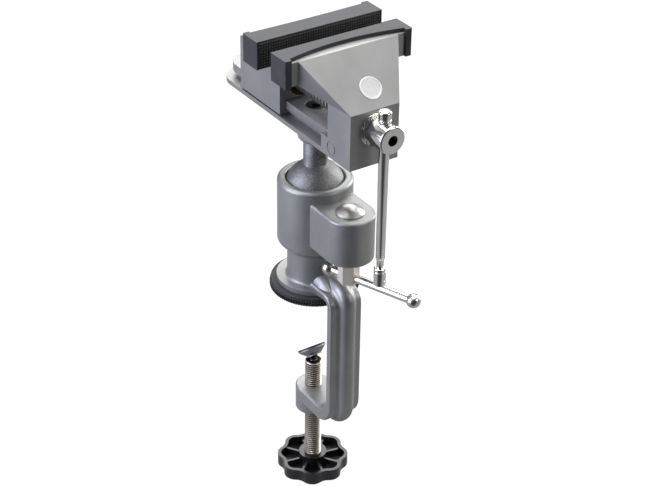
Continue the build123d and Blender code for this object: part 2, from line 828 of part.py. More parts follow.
with BuildPart() as swivel_pad:
    with BuildSketch(pad_profile):
        with BuildLine():
            Polyline(
                (0, pad_top),
                (pad_radius, pad_top),
                (pad_radius, pad_top - pad_rim),
                (pad_hub_radius, pad_top - pad_rim - pad_slope),
                (pad_hub_radius, -pad_hub_bottom),
                (pad_cup_radius + pad_mouth_flare, -pad_hub_bottom),
                (pad_cup_radius, -pad_hub_bottom + pad_mouth_flare),
                (pad_cup_radius, 0),
            )
            ThreePointArc(
                (pad_cup_radius, 0),
                (pad_cup_middle, pad_cup_middle),
                (0, pad_cup_radius),
            )
            Line((0, pad_cup_radius), (0, pad_top))
        make_face()
    revolve(axis=pad_axis)
    with BuildSketch(pad_profile):
        with Locations((ring_radius, -pad_ring_height)):
            Circle(pad_ring_wire + face_gap / 2)
    revolve(axis=pad_axis, mode=Mode.SUBTRACT)
    # Pin hole in the side of the hub
    pin_side = Vector(cos(radians(pad_hole_turn)), sin(radians(pad_hole_turn)), 0)
    pin_turned = Plane(origin=pad_centre, x_dir=(1, 0, 0), z_dir=pad_up).from_local_coords(pin_side)
    pin_direction = (pin_turned - pad_centre).normalized()
    pin_reach = pad_hub_radius + overcut
    pin_start = pad_centre + pin_direction * pin_reach + pad_up * pad_hole_height
    with BuildSketch(Plane(origin=pin_start, z_dir=pin_direction)):
        Circle(pad_hole_radius)
    extrude(amount=-overcut - pad_hole_depth, mode=Mode.SUBTRACT)
save(swivel_pad, "swivel_pad")

with BuildPart() as pad_face:
    with BuildSketch(Plane(origin=pad_centre + pad_up * pad_top, x_dir=(1, 0, 0), z_dir=pad_up)):
        Circle(pad_radius)
    extrude(amount=pad_face_thickness)
save(pad_face, "pad_face")

with BuildPart() as pad_ring:
    with BuildSketch(pad_profile):
        with Locations((ring_radius, -pad_ring_height)):
            Circle(pad_ring_wire)
    revolve(axis=pad_axis)
save(pad_ring, "pad_snap_ring")

# ======================================= The vise head =========================================


def jaw_wedge(inner, wing, narrow, end, end_height):
    """The part of a jaw that spreads from the body up to the wide plate, along Y."""
    under = nose_height - overcut
    outline = [(wing_half_width, inner), (wing_half_width, wing), (bed_half_width, narrow)]
    if narrow != end:
        outline.append((bed_half_width, end))
    with BuildPart() as wedge:
        with BuildSketch(side_plane(-wing_half_width)):
            with BuildLine():
                Polyline(
                    (inner, plate_top),
                    (wing, plate_top),
                    (end, end_height),
                    (end, under),
                    (inner, under),
                    close=True,
                )
            make_face()
        extrude(amount=2 * wing_half_width)
        with BuildSketch(Plane.XY.offset(under)):
            with BuildLine():
                Polyline(outline + [(-x, y) for x, y in reversed(outline)], close=True)
            make_face()
        extrude(amount=plate_top - under, mode=Mode.INTERSECT)
        with BuildSketch(Plane.XZ.offset(-max(inner, end))):
            with BuildLine():
                Polyline(
                    (-bed_half_width, under),
                    (-bed_half_width, nose_height),
                    (-wing_half_width, plate_bottom),
                    (-wing_half_width, plate_top),
                    (wing_half_width, plate_top),
                    (wing_half_width, plate_bottom),
                    (bed_half_width, nose_height),
                    (bed_half_width, under),
                    close=True,
                )
            make_face()
        extrude(amount=abs(end - inner), mode=Mode.INTERSECT)
    return wedge.part


with BuildPart() as head_body:
    # Flange, web and rail of the bed, each with a round rear end
    for half_width, low, high, start in (
        (bed_half_width, bed_bottom, flange_top, -nose_rear),
        (web_half_width, flange_top, rail_bottom, -nose_rear),
        (rail_half_width, rail_bottom, deck_top, -nose_rear),
    ):
        with BuildSketch(Plane.XY.offset(low)):
            with Locations((0, (start + bed_end_centre) / 2)):
                Rectangle(2 * half_width, bed_end_centre - start)
            with Locations((0, bed_end_centre)):
                Circle(half_width)
        extrude(amount=high - low)
    # Nose and the ledge at its foot
    with BuildSketch(Plane.XY.offset(bed_bottom)):
        with Locations((0, -(nose_front + nose_rear) / 2)):
            Rectangle(2 * bed_half_width, nose_length)
    extrude(amount=nose_height - bed_bottom)
    with BuildSketch(Plane.XY.offset(bed_bottom)):
        with Locations((0, -(nose_rear + ledge_end) / 2)):
            Rectangle(2 * bed_half_width, ledge_length)
    extrude(amount=deck_top - ledge_drop - bed_bottom)
    # Jaw
    add(jaw_wedge(-plate_rear, -wing_front, -nose_front, -nose_front, nose_height))
    with BuildSketch(Plane.XY.offset(plate_bottom)):
        with Locations((0, -(wing_front + plate_rear) / 2)):
            Rectangle(2 * plate_half_width, plate_thickness)
    extrude(amount=plate_height)
    # Boss under the bed for the stem
    with BuildSketch(Plane.XY.offset(flange_top)):
        Circle(under_boss_radius)
    extrude(amount=-under_boss_height - flange_thickness)
    fillet(head_body.edges().group_by(Axis.Z)[0], under_boss_round)
    with BuildSketch(Plane.XY.offset(bed_bottom - under_boss_height)):
        Circle(stem_radius + running_fit)
    extrude(amount=stem_socket_top - bed_bottom + under_boss_height, mode=Mode.SUBTRACT)
    # Stepped hole for the head bolt
    with BuildSketch(Plane.XY.offset(deck_top)):
        Circle(deck_hole_radius)
    extrude(amount=-deck_hole_depth, mode=Mode.SUBTRACT)
    with BuildSketch(Plane.XY.offset(deck_top)):
        Circle(head_bolt_radius + face_gap)
    extrude(amount=stem_socket_top - deck_top - overcut, mode=Mode.SUBTRACT)
    # Bearing for the lead screw
    with BuildSketch(Plane.XZ.offset(nose_front + overcut)):
        with Locations((0, screw_height)):
            Circle(screw_radius + running_fit)
    extrude(amount=-nose_length - 2 * overcut, mode=Mode.SUBTRACT)
    # Shallow round mark on each side of the nose
    for side in (-1, 1):
        with BuildSketch(side_plane(side * (bed_half_width - mark_depth))):
            with Locations((-mark_y, bed_bottom + mark_rise)):
                Circle(mark_radius)
                Circle(mark_radius - mark_ring, mode=Mode.SUBTRACT)
        extrude(amount=side * (mark_depth + overcut), mode=Mode.SUBTRACT)
save(head_body, "head_body")

with BuildPart() as sliding_jaw:
    jaw_bottom = flange_top + jaw_underside_gap
    with BuildSketch(Plane.XY.offset(jaw_bottom)):
        with Locations((0, (jaw_front + jaw_rear) / 2)):
            Rectangle(2 * bed_half_width, jaw_body_length)
    extrude(amount=nose_height - jaw_bottom)
    add(jaw_wedge(jaw_plate_front, jaw_plate_rear, jaw_wing_end, jaw_rear, jaw_rear_top))
    with BuildSketch(Plane.XY.offset(plate_bottom)):
        with Locations((0, (jaw_plate_front + jaw_plate_rear) / 2)):
            Rectangle(2 * plate_half_width, plate_thickness)
    extrude(amount=plate_height)
    # Slot that grips the rail: wide over the rail, narrow over the web
    with BuildSketch(Plane.XZ.offset(-jaw_rear - overcut)):
        with Locations((0, (rail_bottom + deck_top) / 2)):
            Rectangle(2 * (rail_half_width + sliding_fit), deck_top - rail_bottom + 2 * sliding_fit)
        with Locations((0, (jaw_bottom - overcut + rail_bottom) / 2)):
            Rectangle(2 * jaw_lip_half_gap, rail_bottom - jaw_bottom + overcut)
    extrude(amount=jaw_body_length + 2 * overcut, mode=Mode.SUBTRACT)
    # Screw bore, and the seat of the nut with its flat
    with BuildSketch(Plane.XZ.offset(-jaw_rear - overcut)):
        with Locations((0, screw_height)):
            Circle(screw_radius + screw_bore_gap)
    extrude(amount=jaw_body_length + 2 * overcut, mode=Mode.SUBTRACT)
    with BuildSketch(Plane.XZ.offset(-jaw_front)):
        with Locations((0, screw_height)):
            Circle(jaw_nut_radius)
            with Locations((0, jaw_nut_flat + jaw_nut_radius)):
                Rectangle(2 * jaw_nut_radius, 2 * jaw_nut_radius, mode=Mode.SUBTRACT)
    extrude(amount=-jaw_nut_length, mode=Mode.SUBTRACT)
save(sliding_jaw, "sliding_jaw")

with BuildPart() as jaw_nut:
    with BuildSketch(Plane.XZ.offset(-jaw_front)):
        with Locations((0, screw_height)):
            Circle(jaw_nut_radius - bar_press_gap)
            with Locations((0, jaw_nut_flat - bar_press_gap + jaw_nut_radius)):
                Rectangle(2 * jaw_nut_radius, 2 * jaw_nut_radius, mode=Mode.SUBTRACT)
            Circle(screw_radius + running_fit, mode=Mode.SUBTRACT)
    extrude(amount=-jaw_nut_length)
save(jaw_nut, "jaw_nut")


def jaw_pad(face, towards, arch_end, arch_middle):
    """A rubber boot over a jaw plate. The plate lies on the side of the face that towards gives."""
    plate_near = face + towards * jaw_pad_face
    plate_far = plate_near + towards * plate_thickness
    back = plate_far + towards * jaw_pad_wrap
    with BuildPart() as boot:
        with BuildSketch(Plane.XY.offset(jaw_pad_bottom)):
            with Locations((0, (face + back) / 2)):
                Rectangle(2 * pad_half_width, abs(back - face))
        extrude(amount=jaw_pad_top - jaw_pad_bottom)
        fillet(boot.edges().filter_by(Axis.Z), jaw_pad_round)
        # Room for the plate, open below and behind
        with BuildSketch(Plane.XY.offset(jaw_pad_bottom)):
            with Locations((0, (plate_near + plate_far) / 2)):
                Rectangle(2 * plate_half_width, plate_thickness)
            with Locations((0, (plate_far + back) / 2 + towards * overcut)):
                Rectangle(2 * plate_half_width, jaw_pad_wrap + 2 * overcut)
        extrude(amount=plate_top - jaw_pad_bottom, mode=Mode.SUBTRACT)
        # Arched back edge of the cover over the plate
        with BuildSketch(Plane.XY.offset(plate_top)):
            with BuildLine():
                ThreePointArc(
                    (-plate_half_width, back - towards * arch_end),
                    (0, back - towards * arch_middle),
                    (plate_half_width, back - towards * arch_end),
                )
                Polyline(
                    (plate_half_width, back - towards * arch_end),
                    (plate_half_width, back + towards * overcut),
                    (-plate_half_width, back + towards * overcut),
                    (-plate_half_width, back - towards * arch_end),
                )
            make_face()
        extrude(amount=jaw_pad_cover, mode=Mode.SUBTRACT)
    return boot


save(jaw_pad(-fixed_face, -1, pad_arch_end, pad_arch_middle), "fixed_jaw_pad")
save(jaw_pad(sliding_face, 1, rear_arch_end, rear_arch_middle), "sliding_jaw_pad")

with BuildPart() as round_badge:
    slope = Vector(0, wing_front - nose_front, nose_height - plate_top).normalized()
    slope_up = Vector(0, slope.Z, -slope.Y)
    badge_centre = Vector(badge_x, -nose_front, nose_height) - slope * badge_along_slope
    with BuildSketch(Plane(origin=badge_centre, x_dir=(1, 0, 0), z_dir=slope_up)):
        Circle(badge_radius)
    extrude(amount=badge_thickness)
save(round_badge, "round_badge")

# =============================== The head bolt and the lead screw ==============================

with BuildPart() as head_bolt:
    bolt_head_bottom = bolt_seat + spring_washer
    with BuildSketch(Plane.XY.offset(bolt_head_bottom)):
        Circle(head_bolt_head_radius)
    extrude(amount=head_bolt_head)
    chamfer(head_bolt.edges().group_by(Axis.Z)[-1], head_bolt_chamfer)
    with BuildSketch(Plane.XY.offset(bolt_head_bottom + head_bolt_head)):
        RegularPolygon(bolt_hex / 2, 6, major_radius=False)
    extrude(amount=-bolt_hex_depth, mode=Mode.SUBTRACT)
    with BuildSketch(Plane.XY.offset(bolt_head_bottom)):
        Circle(head_bolt_radius)
    extrude(amount=-head_bolt_length)
save(head_bolt, "head_bolt")

with BuildPart() as bolt_washer:
    with BuildSketch(Plane.XY.offset(bolt_seat)):
        Circle(head_bolt_head_radius)
        Circle(head_bolt_radius + running_fit, mode=Mode.SUBTRACT)
    extrude(amount=spring_washer)
save(bolt_washer, "head_bolt_washer")

with BuildPart() as lead_screw:
    # Threaded length and journal
    with BuildSketch(Plane.XZ.offset(-screw_end)):
        with Locations((0, screw_height)):
            Circle(screw_radius)
    extrude(amount=screw_end + screw_head_rear)
    chamfer(lead_screw.edges().group_by(Axis.Y)[-1], screw_chamfer)
    # Groove for the clip
    clip_front = nose_rear - clip_setback - running_fit
    with BuildSketch(Plane.XZ.offset(clip_front - clip_thickness - running_fit)):
        with Locations((0, screw_height)):
            Circle(screw_radius)
            Circle(clip_groove_radius, mode=Mode.SUBTRACT)
    extrude(amount=clip_thickness + 2 * running_fit, mode=Mode.SUBTRACT)
    # Collar and head
    with BuildSketch(Plane.XZ.offset(screw_head_rear)):
        with Locations((0, screw_height)):
            Circle(screw_collar_radius)
    extrude(amount=screw_collar)
    with BuildSketch(Plane.XZ.offset(screw_head_rear)):
        with Locations((0, screw_height)):
            Circle(screw_head_radius)
    extrude(amount=screw_head_length)
    fillet(lead_screw.edges().group_by(Axis.Y)[0], screw_head_edge)
    with BuildSketch(Plane.XZ.offset(screw_head_front)):
        with Locations((0, screw_height)):
            RegularPolygon(screw_hex / 2, 6, major_radius=False)
    extrude(amount=-screw_hex_depth, mode=Mode.SUBTRACT)
    # Cross hole for the tommy bar
    with BuildSketch(Plane.XY.offset(screw_height - 2 * screw_head_radius)):
        with Locations((0, -tommy_y)):
            Circle(tommy_top_radius + face_gap)
    extrude(amount=4 * screw_head_radius, mode=Mode.SUBTRACT)
save(lead_screw, "lead_screw")

with BuildPart() as screw_washer:
    with BuildSketch(Plane.XZ.offset(nose_front)):
        with Locations((0, screw_height)):
            Circle(nose_washer_radius)
            Circle(screw_radius + running_fit, mode=Mode.SUBTRACT)
    extrude(amount=nose_washer)
save(screw_washer, "lead_screw_washer")

with BuildPart() as screw_clip:
    with BuildSketch(Plane.XZ.offset(clip_front - clip_thickness)):
        with Locations((0, screw_height)):
            Circle(clip_outer_radius)
            Circle(clip_groove_radius + running_fit, mode=Mode.SUBTRACT)
            with Locations((0, clip_outer_radius)):
                Rectangle(clip_mouth, 2 * clip_outer_radius, mode=Mode.SUBTRACT)
    extrude(amount=clip_thickness)
save(screw_clip, "lead_screw_clip")

tommy_axis = Axis((0, -tommy_y, 0), (0, 0, 1))
ferrule_top = tommy_bottom + tommy_ferrule_height
neck_top = ferrule_top + tommy_neck_height

with BuildPart() as tommy_bar:
    # Slightly tapered rod with a neck above the ferrule and a spigot at each end
    with BuildSketch(Plane.XZ.offset(tommy_y)):
        with BuildLine():
            Polyline(
                (0, ferrule_top - tommy_spigot_length),
                (tommy_spigot_radius, ferrule_top - tommy_spigot_length),
                (tommy_spigot_radius, ferrule_top),
                (tommy_neck_radius, ferrule_top),
                (tommy_neck_radius, neck_top - tommy_shoulder),
                (tommy_low_radius, neck_top),
                (tommy_top_radius, tommy_cap_bottom),
                (tommy_spigot_radius, tommy_cap_bottom),
                (tommy_spigot_radius, tommy_cap_bottom + tommy_spigot_length),
                (0, tommy_cap_bottom + tommy_spigot_length),
                close=True,
            )
        make_face()
    revolve(axis=tommy_axis)
save(tommy_bar, "tommy_bar")

with BuildPart() as tommy_cap:
    with BuildSketch(Plane.XY.offset(tommy_cap_bottom)):
        with Locations((0, -tommy_y)):
            Circle(tommy_cap_radius)
    extrude(amount=tommy_cap_height)
    fillet(tommy_cap.edges().group_by(Axis.Z)[-1], tommy_end_round)
    with BuildSketch(Plane.XY.offset(tommy_cap_bottom)):
        with Locations((0, -tommy_y)):
            Circle(tommy_spigot_radius + bar_press_gap)
    extrude(amount=tommy_spigot_length + tommy_spigot_gap, mode=Mode.SUBTRACT)
save(tommy_cap, "tommy_cap")

with BuildPart() as tommy_ferrule:
    with BuildSketch(Plane.XY.offset(tommy_bottom)):
        with Locations((0, -tommy_y)):
            Circle(tommy_ferrule_radius)
    extrude(amount=tommy_ferrule_height)
    fillet(tommy_ferrule.edges().group_by(Axis.Z)[0], tommy_end_round)
    with BuildSketch(Plane.XY.offset(ferrule_top)):
        with Locations((0, -tommy_y)):
            Circle(tommy_spigot_radius + bar_press_gap)
    extrude(amount=-tommy_spigot_length - tommy_spigot_gap, mode=Mode.SUBTRACT)
save(tommy_ferrule, "tommy_ferrule")
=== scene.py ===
"""The looks of a clamp-on ball-head bench vise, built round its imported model. Lengths are in metres."""

import json
import math

import bmesh
import bpy
from mathutils import Matrix, Vector

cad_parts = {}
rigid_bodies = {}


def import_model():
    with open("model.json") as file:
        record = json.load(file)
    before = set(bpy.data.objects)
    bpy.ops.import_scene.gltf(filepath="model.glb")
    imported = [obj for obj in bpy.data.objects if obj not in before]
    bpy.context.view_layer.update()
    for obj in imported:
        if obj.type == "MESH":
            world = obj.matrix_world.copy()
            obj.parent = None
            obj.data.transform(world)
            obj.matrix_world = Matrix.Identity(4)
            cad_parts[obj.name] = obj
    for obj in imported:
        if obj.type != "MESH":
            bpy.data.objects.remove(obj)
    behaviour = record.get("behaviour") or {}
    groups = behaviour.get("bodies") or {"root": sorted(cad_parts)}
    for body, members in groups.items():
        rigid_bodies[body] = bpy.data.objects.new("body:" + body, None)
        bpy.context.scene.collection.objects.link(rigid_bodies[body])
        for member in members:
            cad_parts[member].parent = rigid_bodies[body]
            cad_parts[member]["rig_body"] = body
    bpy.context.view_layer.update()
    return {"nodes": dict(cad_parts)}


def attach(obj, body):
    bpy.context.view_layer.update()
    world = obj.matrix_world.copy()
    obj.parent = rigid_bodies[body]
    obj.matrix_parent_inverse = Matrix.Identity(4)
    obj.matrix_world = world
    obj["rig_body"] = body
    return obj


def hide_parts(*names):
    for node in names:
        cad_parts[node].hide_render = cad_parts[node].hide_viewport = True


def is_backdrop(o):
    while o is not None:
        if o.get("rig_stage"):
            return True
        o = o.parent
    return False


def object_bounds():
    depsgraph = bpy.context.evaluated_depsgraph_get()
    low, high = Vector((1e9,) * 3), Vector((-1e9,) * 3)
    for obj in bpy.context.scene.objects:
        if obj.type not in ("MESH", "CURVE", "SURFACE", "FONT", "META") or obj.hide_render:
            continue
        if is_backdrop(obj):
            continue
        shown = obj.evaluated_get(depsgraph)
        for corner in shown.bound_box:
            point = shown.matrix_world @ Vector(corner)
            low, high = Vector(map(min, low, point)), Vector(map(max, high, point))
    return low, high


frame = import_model()

MM = 0.001

# --- Camera and studio -------------------------------------------------------------------------
CAMERA_PLACE = Vector((-443.63, -669.59, 521.60)) * MM
CAMERA_AZIMUTH = -33.90
CAMERA_ELEVATION = 31.62
CAMERA_ROLL = 0.74
CAMERA_LENS = 93.24
CAMERA_SENSOR = 36.0
FLOOR_DROP = 17.5 * MM
FLOOR_SIZE = 6.0
DARK_SIDE = (-0.45, -0.89, 0.0)
DARK_START, DARK_END, DARK_STRENGTH = 0.35, 0.8, 0.12
FLOOR_STRIP = (-0.557, -0.83, 0.0)
STRIP_START, STRIP_END = 0.62, 0.86
STRIP_SHADE, CARD_SHADE, FLOOR_SHADE = 0.012, 0.19, 0.9
FLOOR_GLOW = 0.93
SKY = (
    (0.02, (0.03, 0.03, 0.03)),
    (0.45, (0.07, 0.07, 0.07)),
    (0.62, (0.20, 0.20, 0.205)),
    (0.98, (0.60, 0.60, 0.60)),
)

# Name, place, size in metres, power in watts and colour
LIGHT_TARGET = (0, 0, 0.05)
WHITE = (1, 1, 1)
SOFTBOXES = (
    ("left_softbox", (-1.35, 0.35, 0.45), (1.0, 1.3), 27, (0.74, 0.79, 1.0)),
    ("top_softbox", (0.1, 0.3, 1.5), (1.3, 1.3), 43, WHITE),
    ("back_softbox", (0.72, 1.07, 0.85), (0.9, 0.6), 5.5, WHITE),
    ("right_softbox", (1.35, 0.1, 0.4), (0.6, 1.2), 17, (0.95, 0.97, 1.0)),
    ("front_softbox", (0.75, -1.25, 0.75), (0.5, 0.5), 4.5, WHITE),
)

# --- Places on the vise, in millimetres ---------------------------------------------------------
ON_AXIS = 0.001
CUT_OVERLAP = 0.1
SCREW_HEIGHT = 123.6
SCREW_RADIUS = 6.0
SCREW_THREAD_START = -31.0
SCREW_THREAD_END = 50.8
SCREW_PITCH = 3.0
SCREW_DEPTH, SCREW_CREST, SCREW_ROOT = 1.6, 0.32, 0.3
# Radii of the painted shade in the screw head's socket: full shade within the first, none beyond the
# second
SOCKET_DARK, SOCKET_BRIGHT = 2.7, 3.15
CLAMP_RADIUS = 4.95
CLAMP_THREAD_START = -122.2
CLAMP_THREAD_END = -53.9
CLAMP_PITCH = 1.5
CLAMP_DEPTH = 0.9
TOMMY_Y = -62.9
CAP_BOTTOM, CAP_TOP, CAP_RADIUS, CAP_GROOVE = 131.35, 137.75, 3.5, 3.2
FERRULE_BOTTOM, FERRULE_TOP, FERRULE_RADIUS, FERRULE_GROOVE = 33.2, 44.6, 3.3, 3.0
SEAT_RADIUS, SEAT_TOP = 25.5, 5.5
SEAT_FOOT_RADIUS, SEAT_UPPER_RADIUS = 24.2, 24.9
BAND_BOTTOM, BAND_TOP, UPPER_START = 0.7, 3.2, 3.6
SEAT_TEETH, TOOTH_DEPTH = 100, 0.8
TOOTH_INNER, TOOTH_TOP = 24.0, 3.45
GRIP_HALF_WIDTH, GRIP_BOTTOM, GRIP_TOP = 38.2, 146.4, 160.4
FIXED_FACE_Y, SLIDING_FACE_Y = -16.75, -4.05
GRIP_DEPTH = 0.45
GRIP_COLUMNS, GRIP_ROWS = 50, 9
TIP_DEPTH, HIP_SHARE = 0.02, 0.55
FACE_REACH = 0.05
BADGE_CENTRE = (2.6, -46.339, 142.461)
BADGE_DISH, BADGE_RIM, BADGE_SHOULDER, BADGE_ROUND = 0.16, 0.27, 0.1, 0.12


# ======================================= Shader helpers ========================================


class Socket:
    """A shader socket. Sums, products and powers of sockets and numbers add their Math nodes."""

    def __init__(self, finish, output):
        self.finish = finish
        self.output = output

    def maths(self, operation, first, second):
        return self.finish.node("ShaderNodeMath", {"operation": operation}, {0: first, 1: second})

    def __add__(self, other):
        return self.maths("ADD", self, other)

    def __radd__(self, other):
        return self.maths("ADD", other, self)

    def __sub__(self, other):
        return self.maths("SUBTRACT", self, other)

    def __rsub__(self, other):
        return self.maths("SUBTRACT", other, self)

    def __mul__(self, other):
        return self.maths("MULTIPLY", self, other)

    def __rmul__(self, other):
        return self.maths("MULTIPLY", other, self)

    def __pow__(self, other):
        return self.maths("POWER", self, other)


class Finish:
    """A material with one Principled shader, and the nodes that feed it."""

    def __init__(self, name, color, roughness, metallic=0.0, **settings):
        self.material = bpy.data.materials.new(name)
        self.material.use_nodes = True
        self.tree = self.material.node_tree
        self.shader = self.tree.nodes["Principled BSDF"]
        self.shader.inputs["Base Color"].default_value = (*color, 1)
        self.shader.inputs["Roughness"].default_value = roughness
        self.shader.inputs["Metallic"].default_value = metallic
        for key, value in settings.items():
            self.shader.inputs[key.replace("_", " ").title()].default_value = value

    def node(self, kind, settings, inputs, output=0):
        """A node of that kind, with its settings made before its sockets are filled."""
        made = self.tree.nodes.new(kind)
        for key, value in settings.items():
            if key == "stops":
                ramp = made.color_ramp.elements
                while len(ramp) < len(value):
                    ramp.new(0.5)
                for stop, (place, shade) in zip(ramp, value):
                    stop.position = place
                    stop.color = (*shade, 1) if isinstance(shade, tuple) else (shade, shade, shade, 1)
            else:
                setattr(made, key, value)
        for key, value in inputs.items():
            self.fill(made.inputs[key], value)
        return Socket(self, made.outputs[output])

    def fill(self, socket, value):
        if isinstance(value, Socket):
            self.tree.links.new(value.output, socket)
        else:
            socket.default_value = value

    def place(self):
        return self.node("ShaderNodeTexCoord", {}, {}, "Object")

    def axes(self):
        """The X, Y and Z of the place on the piece."""
        parts = self.node("ShaderNodeSeparateXYZ", {}, {"Vector": self.place()})
        return [Socket(self, parts.output.node.outputs[axis]) for axis in "XYZ"]

    def noise(self, scale, detail=3.0, roughness=0.55, stretch=None):
        where = self.place()
        if stretch:
            where = self.node("ShaderNodeMapping", {}, {"Vector": where, "Scale": stretch})
        return self.node(
            "ShaderNodeTexNoise",
            {},
            {"Vector": where, "Scale": scale, "Detail": detail, "Roughness": roughness},
        )

    def ramp(self, value, stops):
        return self.node("ShaderNodeValToRGB", {"stops": stops}, {"Fac": value})

    def blend(self, factor, first, second):
        """Two colours mixed by a factor."""
        made = self.tree.nodes.new("ShaderNodeMix")
        made.data_type = "RGBA"
        self.fill(made.inputs[0], factor)
        for index, value in ((6, first), (7, second)):
            self.fill(made.inputs[index], value if isinstance(value, Socket) else (*value, 1))
        return Socket(self, made.outputs[2])

    def bump(self, height, strength, distance, normal=None):
        inputs = {"Height": height, "Strength": strength, "Distance": distance}
        if normal:
            inputs["Normal"] = normal
        return self.node("ShaderNodeBump", {}, inputs)

    def set(self, **links):
        for key, value in links.items():
            self.fill(self.shader.inputs[key.replace("_", " ").title()], value)
        return self


# ========================================= Materials ===========================================


def cast_paint():
    """Satin silver lacquer on a casting: metal flake, a soft orange-peel skin and faint flow marks."""
    paint = Finish("cast_paint", (0.4, 0.4, 0.4), 0.4, 0.72, coat_weight=0.15, coat_roughness=0.28)
    flow = paint.noise(55, 4)
    speck = paint.noise(3200, 2)
    color = paint.blend(
        paint.ramp(flow, [(0.3, 0.0), (0.75, 1.0)]), (0.285, 0.285, 0.28), (0.335, 0.335, 0.327)
    )
    peel = paint.bump(paint.noise(900, 2), 0.2, 0.05 * MM)
    grain = paint.bump(speck, 0.3, 0.02 * MM, peel)
    return paint.set(
        base_color=color, roughness=0.37 + flow * 0.1 + speck * 0.06, normal=grain
    ).material


def rubber(name, dark, light, bump_depth):
    """Moulded rubber with a fine matt skin and a little dust."""
    made = Finish(name, dark, 0.62, 0.0)
    dust = made.ramp(made.noise(160, 5, 0.6), [(0.42, 0.0), (0.72, 1.0)])
    skin = made.noise(1500, 3)
    return made.set(
        base_color=made.blend(dust * 0.35 + skin * 0.15, dark, light),
        roughness=0.5 + dust * 0.14 + skin * 0.08,
        normal=made.bump(skin, 0.5, bump_depth),
    ).material


def plated(name, color, roughness, smear=0.05, grain_scale=700.0, grain_depth=0.006 * MM, stretch=None):
    """Bright plated metal: faint smears in its gloss and a fine grain."""
    made = Finish(name, color, roughness, 1.0)
    smears = made.noise(140, 3)
    grain = made.noise(grain_scale, 3, 0.6, stretch)
    tint = tuple(c * 0.86 for c in color)
    return made.set(
        base_color=made.blend(smears, color, tint),
        roughness=roughness - smear / 2 + smears * smear + grain * smear,
        normal=made.bump(grain, 0.35, grain_depth),
    ).material


def cast_ball():
    """Bare bright casting with a sandy grain."""
    made = Finish("cast_ball", (0.5, 0.5, 0.49), 0.5, 0.9)
    sand = made.noise(1500, 4, 0.75)
    cloud = made.noise(240, 3)
    color = made.blend(
        made.ramp(sand * 0.8 + cloud * 0.2, [(0.35, 0.0), (0.65, 1.0)]),
        (0.10, 0.10, 0.098),
        (0.36, 0.36, 0.35),
    )
    return made.set(
        base_color=color, roughness=0.44 + cloud * 0.14, normal=made.bump(sand, 1.0, 0.16 * MM)
    ).material


def thread_steel():
    """Zinc-plated thread, coloured by depth: a painted highlight in beige on its crests and painted shade
    in its dark roots.
    """
    made = Finish("thread_steel", (0.5, 0.45, 0.38), 0.36, 1.0)
    across, along, _ = made.axes()
    radius = (across * across + along * along) ** 0.5
    depth = made.node(
        "ShaderNodeMapRange",
        {},
        {
            "Value": radius,
            "From Min": (CLAMP_RADIUS - CLAMP_DEPTH) * MM,
            "From Max": CLAMP_RADIUS * MM,
        },
    )
    cloud = made.noise(260, 3)
    # Painted shade in the roots and a painted highlight on the crests, set by the distance from the axis
    color = made.ramp(
        depth,
        [(0.05, (0.03, 0.026, 0.022)), (0.45, (0.16, 0.14, 0.115)), (0.95, (0.78, 0.71, 0.61))],
    )
    return made.set(base_color=color, roughness=0.3 + cloud * 0.18).material


def head_nickel():
    """Bright nickel on the screw's head, with painted shade for its hexagon socket: a near-black round
    patch at the centre.
    """
    made = Finish("head_nickel", (0.72, 0.71, 0.68), 0.14, 1.0)
    across, _, height = made.axes()
    rise = height - SCREW_HEIGHT * MM
    radius = (across * across + rise * rise) ** 0.5
    # Painted shade: a near-black round patch at the centre of the head stands for the shadowed socket
    socket_shade = made.node(
        "ShaderNodeMapRange",
        {},
        {"Value": radius, "From Min": SOCKET_DARK * MM, "From Max": SOCKET_BRIGHT * MM},
    )
    smears = made.noise(160, 3)
    return made.set(
        base_color=made.blend(socket_shade, (0.02, 0.02, 0.02), (0.72, 0.71, 0.68)),
        roughness=0.1 + smears * 0.1,
    ).material


def knurled_rubber():
    """Black rubber of the gripping faces, with a painted highlight on the tips of its knurl and painted
    shade in the hollows between them.
    """
    made = Finish("grip_rubber", (0.01, 0.01, 0.01), 0.6, 0.0)
    across, _, height = made.axes()
    waves = []
    for value, start, count, length in (
        (across, -GRIP_HALF_WIDTH, GRIP_COLUMNS, 2 * GRIP_HALF_WIDTH),
        (height, GRIP_BOTTOM, GRIP_ROWS, GRIP_TOP - GRIP_BOTTOM),
    ):
        turn = (value - start * MM) * (2 * math.pi * count / (length * MM))
        wave = made.node("ShaderNodeMath", {"operation": "COSINE"}, {0: turn})
        waves.append(0.5 - wave * 0.5)
    # Painted highlight on the knurl's tips and painted shade in the hollows, laid on the same grid as the
    # pyramids
    tips = waves[0] * waves[1]
    return made.set(
        base_color=made.blend(tips, (0.003, 0.003, 0.003), (0.075, 0.075, 0.073)),
        roughness=0.62 - tips * 0.15,
    ).material


def knob_plastic():
    """Glossy black moulded plastic with a faint waviness."""
    made = Finish(
        "knob_plastic", (0.012, 0.012, 0.014), 0.22, 0.0, coat_weight=0.25, coat_roughness=0.08
    )
    wave = made.noise(90, 2)
    fine = made.noise(1900, 2)
    return made.set(
        base_color=made.blend(wave, (0.005, 0.005, 0.006), (0.011, 0.011, 0.012)),
        roughness=0.17 + wave * 0.1 + fine * 0.06,
        normal=made.bump(wave, 0.2, 0.15 * MM, made.bump(fine, 0.15, 0.01 * MM)),
    ).material


def badge_metal():
    """Pale satin disc with a faint cloudy tone."""
    made = Finish("badge_metal", (0.78, 0.78, 0.78), 0.35, 0.3)
    cloud = made.noise(600, 3)
    return made.set(
        base_color=made.blend(cloud, (0.50, 0.50, 0.50), (0.62, 0.62, 0.61)),
        roughness=0.3 + cloud * 0.12,
    ).material


